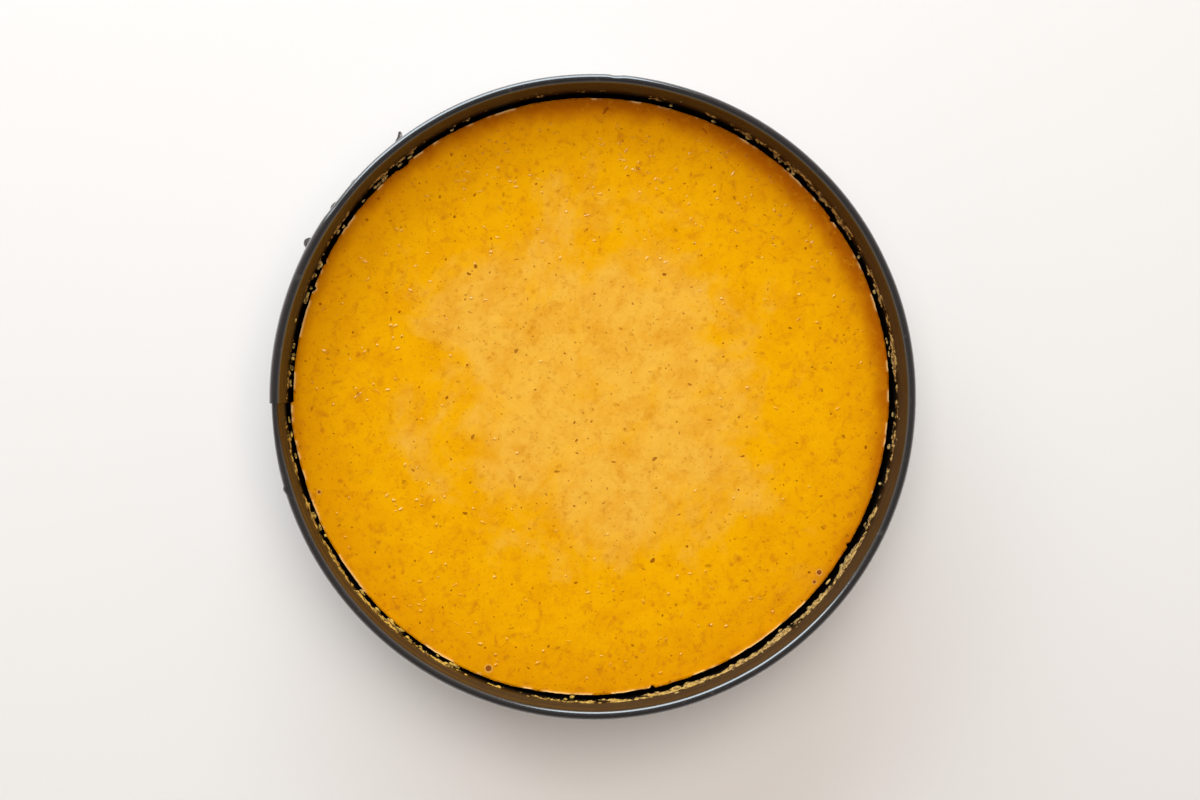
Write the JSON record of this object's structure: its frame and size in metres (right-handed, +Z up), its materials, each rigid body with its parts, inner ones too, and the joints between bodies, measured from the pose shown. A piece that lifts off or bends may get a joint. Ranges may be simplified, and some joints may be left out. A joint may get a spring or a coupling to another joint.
{
  "type": "pumpkin cheesecake in springform pan",
  "caption": "Whole uncut baked pumpkin cheesecake in its round springform pan, with an overlapping ring, a loose base and a lever latch that opens.",
  "frame": {"origin": "centre of the base plate's underside, the face the pan stands on", "axes": "+Z up along the pan's axis; the latch is centred on -Y and its lever points to -X"},
  "size_m": [0.2368, 0.2406, 0.0699],
  "materials": {
    "pan_coating": "satin",
    "base_coating": "satin",
    "latch_steel": "satin",
    "cheesecake": "satin"
  },
  "bodies": {
    "pan": {"pan_ring": "pan_coating", "base_plate": "base_coating", "cheesecake": "cheesecake", "catch_plate": "latch_steel", "catch_rivet_upper": "latch_steel", "catch_rivet_lower": "latch_steel", "hinge_bracket": "latch_steel", "bracket_rivet_back": "latch_steel", "bracket_rivet_front": "latch_steel", "pivot_pin": "latch_steel"},
    "lever": {"lever": "latch_steel"},
    "bail": {"bail": "latch_steel"}
  },
  "joints": [
    {"name": "lever_hinge", "type": "hinge", "parent": "pan", "child": "lever", "pos_m": [0.009, -0.1192, 0.038], "axis": [0, 0, 1], "range_deg": [0, 140]},
    {"name": "bail_hinge", "type": "hinge", "parent": "lever", "child": "bail", "pos_m": [-0.0025, -0.1189, 0.038], "axis": [0, 0, 1], "range_deg": [-140, 0]}
  ],
  "couplings": [
    {"joint": "bail_hinge", "follows": "lever_hinge", "ratio": -1}
  ]
}
